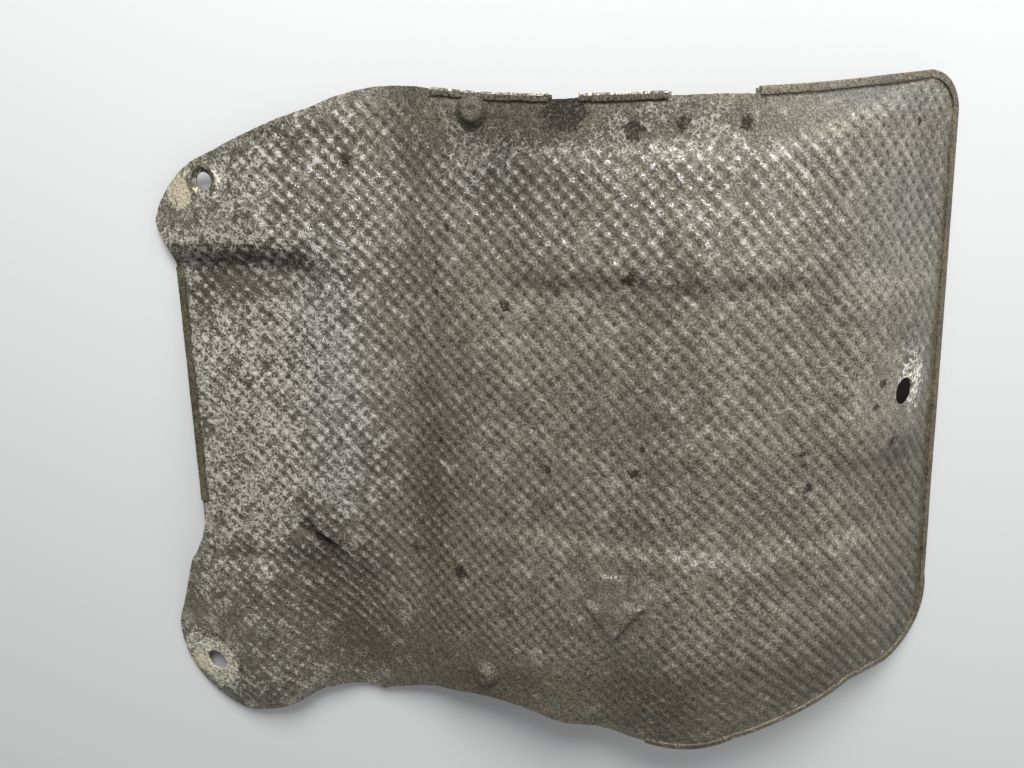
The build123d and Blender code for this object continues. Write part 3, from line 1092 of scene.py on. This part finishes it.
class SHIELD_OT_hems(bpy.types.Operator):
    """Fold the edge strips back onto the upper face"""

    bl_idname = "shield.hems"
    bl_label = "Folded hems"

    def section(self, width):
        """Points round a hem, from under the sheet to the upper face: inward from the edge, and lift."""
        return np.array(
            [
                (0.7, -1.03),
                (0.05, -1.05),
                (-0.32, -0.92),
                (-0.52, -0.55),
                (-0.58, 0.0),
                (-0.52, 0.5),
                (-0.3, 0.84),
                (0.1, 0.98),
                (0.6, 1.0),
                (0.9, 1.0),
                (width / 2, 1.0),
                (width - 0.35, 0.97),
                (width - 0.08, 0.86),
                (width, 0.6),
                (width + 0.05, 0.06),
                (width + 0.9, 0.05),
                (width + 1.0, -0.3),
            ]
        )

    def fold(self, name, run, width, seed, crumble):
        """One hem along a run of the outline."""
        section = self.section(width)
        count = len(run)
        only()
        bpy.ops.mesh.primitive_grid_add(x_subdivisions=count - 1, y_subdivisions=len(section) - 1, size=2)
        hem = added(name)
        grid = points_of(hem) * MM
        along = np.rint((grid[:, 0] + 1) / 2 * (count - 1)).astype(int)
        around = np.rint((grid[:, 1] + 1) / 2 * (len(section) - 1)).astype(int)
        inward, lift = section[around].T
        t = along * 0.8
        inner = inward > width / 2
        inward = inward + np.where(inner, crumble * wander(t, seed), 0.3 * crumble * wander(t, seed + 2))
        lift = lift * (1 + np.where(lift > 0.5, 0.25 * crumble * wander(1.7 * t, seed + 5), 0))
        plan = run[along] - outward(run)[along] * inward[:, None]
        place_points(hem, surface(plan[:, 0], plan[:, 1], lift))
        for end in (0, count - 1):
            pick(hem, edges=lambda e: all(along[v.index] == end for v in e.verts))
            bpy.ops.mesh.edge_face_add()
            done()
        own(hem, 0.5)
        self.age(hem, around, len(section))
        only(hem)
        edit_all()
        faces = bmesh.from_edit_mesh(hem.data).faces
        if sum(f.normal.z * f.calc_area() for f in faces) < 0:
            bpy.ops.mesh.flip_normals()
        done()
        smooth(hem)

    def age(self, hem, around, count):
        """Pale chipped rims with a painted highlight on the two tabs, brown stain on the long hems, and a
        dark painted shadow line in the gap.
        """
        gap = around >= count - 3
        ragged = hem.name.endswith("tab")
        # The tabs' pale rims are chipped oxide and a painted highlight where their bend faces the light
        rim = (around <= 8) & ragged
        dull = 0.55 if hem.name == "left_hem" else 0.1
        set_patches(
            hem,
            # The dark line in the gap under the hem's lip is a painted shadow
            grime=np.where(gap, 0.3, np.where(ragged, 0.34, 0.12)),
            oxide=np.where(rim, 1.8, 0.0),
            stain=np.where(rim, 0.1, 0.95),
            shade=np.where((around > 8) & ragged, 0.75, dull),
            crust=np.where(rim, 0.55, 0.0),
        )

    def execute(self, context):
        width = context.scene.shield_sizes.hem_width / MM
        x, y = OUTLINE.T
        upper = y > 120
        runs = {
            "left_hem": (0.5, (x < -255) & (y < 55) & (y > -73)),
            "first_tab": (0.35, upper & (x > top_left[0]) & (x < notch_left - 0.3)),
            "second_tab": (0.35, upper & (x > notch_right + 0.3) & (x < bare_left - 0.3)),
            "side_hem": (0.12, (x > -20) & ~(upper & (x < bare_right + 0.3))),
        }
        for seed, (name, (crumble, run)) in enumerate(runs.items()):
            self.fold(name, OUTLINE[run], width, seed, crumble)
        return {"FINISHED"}


class SHIELD_OT_buttons(bpy.types.Operator):
    """Raise the two pressed buttons"""

    bl_idname = "shield.buttons"
    bl_label = "Pressed buttons"

    def execute(self, context):
        sizes = context.scene.shield_sizes
        base, top, height = sizes.button_base, sizes.button_top, sizes.button_height
        wall = 0.8 * sizes.sheet
        rings = [
            (base - 0.0006, -sizes.sheet),
            (base + 0.0018, -0.3 * sizes.sheet),
            (base + 0.0016, 0.00006),
            (base + 0.0006, 0.0003),
            (base - 0.0001, 0.001),
            (top + 0.0006, height - 0.0016),
            (top + 0.0001, height - 0.0007),
            (top - 0.0007, height - 0.00015),
            (top - 0.0017, height),
            (top - 0.003, height - 0.0001),
            (0.0006, height - 0.00025),
        ]
        hollow = [
            (base - 0.0006, -sizes.sheet),
            (top - wall, height - 2 * wall),
            (0.0006, height - 1.8 * wall),
        ]
        outer = turned("top_button", rings)
        under = turned("button_hollow", hollow)
        only(outer, under)
        bpy.ops.object.join()
        weld()
        copy = outer.copy()
        copy.data = outer.data.copy()
        copy.name = copy.data.name = "bottom_button"
        context.scene.collection.objects.link(copy)
        for piece, place in ((outer, top_button), (copy, bottom_button)):
            stand(piece, place)
            own(piece, 0.4)
            set_patches(piece, oxide=0.1, stain=0.95, shade=0.7, shine=0.0)
            smooth(piece)
        return {"FINISHED"}


class SHIELD_OT_seat(bpy.types.Operator):
    """Press the seat of the upper ear's hole"""

    bl_idname = "shield.seat"
    bl_label = "Hole seat"

    def execute(self, context):
        sizes = context.scene.shield_sizes
        r, hole, depth, t = sizes.hole, sizes.seat_hole, sizes.seat_depth, sizes.sheet
        rings = [
            (r + 0.0016, 0.00004),
            (r + 0.0004, 0.00008),
            (r - 0.0002, -0.0002),
            (r - 0.0005, -0.0007),
            (r - 0.0006, 0.0004 - depth),
            (r - 0.0009, 0.0001 - depth),
            (hole + 0.0003, -depth),
            (hole, -depth - 0.0002),
            (hole, -depth - t),
            (r + 0.0006, -depth - t),
            (r + 0.0009, -depth - 0.6 * t),
            (r + 0.0009, -0.9 * t),
            (r + 0.0016, -0.8 * t),
            (r + 0.0016, 0.00004),
        ]
        seat = turned("hole_seat", rings, vertices=64, closed=True)
        stand(seat, upper_hole)
        own(seat, 0.45)
        set_patches(seat, crust=0.32, cream=0.1, stain=0.5, oxide=0.9)
        smooth(seat)
        return {"FINISHED"}


class SHIELD_OT_stage(bpy.types.Operator):
    """Lay the floor, set the lamps and aim the camera"""

    bl_idname = "shield.stage"
    bl_label = "Floor, lamps and camera"

    def floor(self, colour):
        """A plain floor just under the shield."""
        only()
        bpy.ops.mesh.primitive_plane_add(size=8, location=(0, 0, -0.0002))
        floor = added("floor")
        thicken(-0.02)
        cover = Finish("pale_floor")
        cover.feed(cover.shader.inputs["Base Color"], colour)
        cover.shader.inputs["Roughness"].default_value = 0.85
        cover.shader.inputs["Specular IOR Level"].default_value = 0.2
        floor.data.materials.append(cover.material)

    def lamp(self, name, towards, distance, size, power):
        """A soft square lamp that shines on the middle of the shield."""
        only()
        way = Vector(towards).normalized()
        bpy.ops.object.light_add(type="AREA", location=way * distance)
        lamp = bpy.context.view_layer.objects.active
        lamp.name = lamp.data.name = name
        lamp.rotation_euler = (-way).to_track_quat("-Z", "Y").to_euler()
        lamp.data.size = size
        lamp.data.energy = power

    def sky(self, scene):
        """An even soft light from all round."""
        world = bpy.data.worlds.new("soft_sky")
        world.use_nodes = True
        background = world.node_tree.nodes["Background"]
        background.inputs["Color"].default_value = (0.97, 0.985, 1.0, 1)
        background.inputs["Strength"].default_value = 0.27
        scene.world = world

    def aim(self, scene):
        """The camera over the sheet."""
        bpy.ops.object.camera_add()
        camera = bpy.context.view_layer.objects.active
        camera.name = camera.data.name = "view_camera"
        spot = Matrix.Translation(Vector((camera_place + ORIGIN) * MM))
        tilt = Matrix.Rotation(-camera_tilt, 4, "X")
        camera.matrix_world = spot @ tilt @ Matrix.Rotation(camera_turn, 4, "Y")
        camera.data.sensor_width = camera_sensor
        camera.data.lens = camera_lens
        camera.data.clip_start = 0.01
        scene.camera = camera

    def execute(self, context):
        scene = context.scene
        self.floor(tuple(scene.shield_colours.floor))
        self.lamp("key_lamp", towards=(0.06, 0.84, 0.6), distance=1.25, size=0.6, power=20.0)
        self.lamp("side_lamp", towards=(0.95, 0.3, 0.5), distance=1.5, size=0.8, power=5.5)
        self.sky(scene)
        self.aim(scene)
        scene.view_settings.view_transform = "Standard"
        return {"FINISHED"}


class SHIELD_PT_panel(bpy.types.Panel):
    """Sizes, colours and steps of the shield"""

    bl_label = "Heat shield"
    bl_idname = "SHIELD_PT_panel"
    bl_space_type = "VIEW_3D"
    bl_region_type = "UI"
    bl_category = "Shield"

    def draw(self, context):
        for group in (context.scene.shield_sizes, context.scene.shield_colours):
            box = self.layout.box()
            for name in group.__annotations__:
                box.prop(group, name)
        for step in STEPS:
            self.layout.operator(step.bl_idname)


STEPS = (
    SHIELD_OT_finish,
    SHIELD_OT_sheet,
    SHIELD_OT_hems,
    SHIELD_OT_buttons,
    SHIELD_OT_seat,
    SHIELD_OT_stage,
)
CLASSES = (ShieldSizes, ShieldColours, *STEPS, SHIELD_PT_panel)


def register():
    for item in CLASSES:
        bpy.utils.register_class(item)
    bpy.types.Scene.shield_sizes = bpy.props.PointerProperty(type=ShieldSizes)
    bpy.types.Scene.shield_colours = bpy.props.PointerProperty(type=ShieldColours)


def unregister():
    del bpy.types.Scene.shield_colours
    del bpy.types.Scene.shield_sizes
    for item in reversed(CLASSES):
        bpy.utils.unregister_class(item)


def main():
    register()
    bpy.ops.shield.finish()
    bpy.ops.shield.sheet()
    bpy.ops.shield.hems()
    bpy.ops.shield.buttons()
    bpy.ops.shield.seat()
    bpy.ops.shield.stage()


if __name__ == "__main__":
    main()
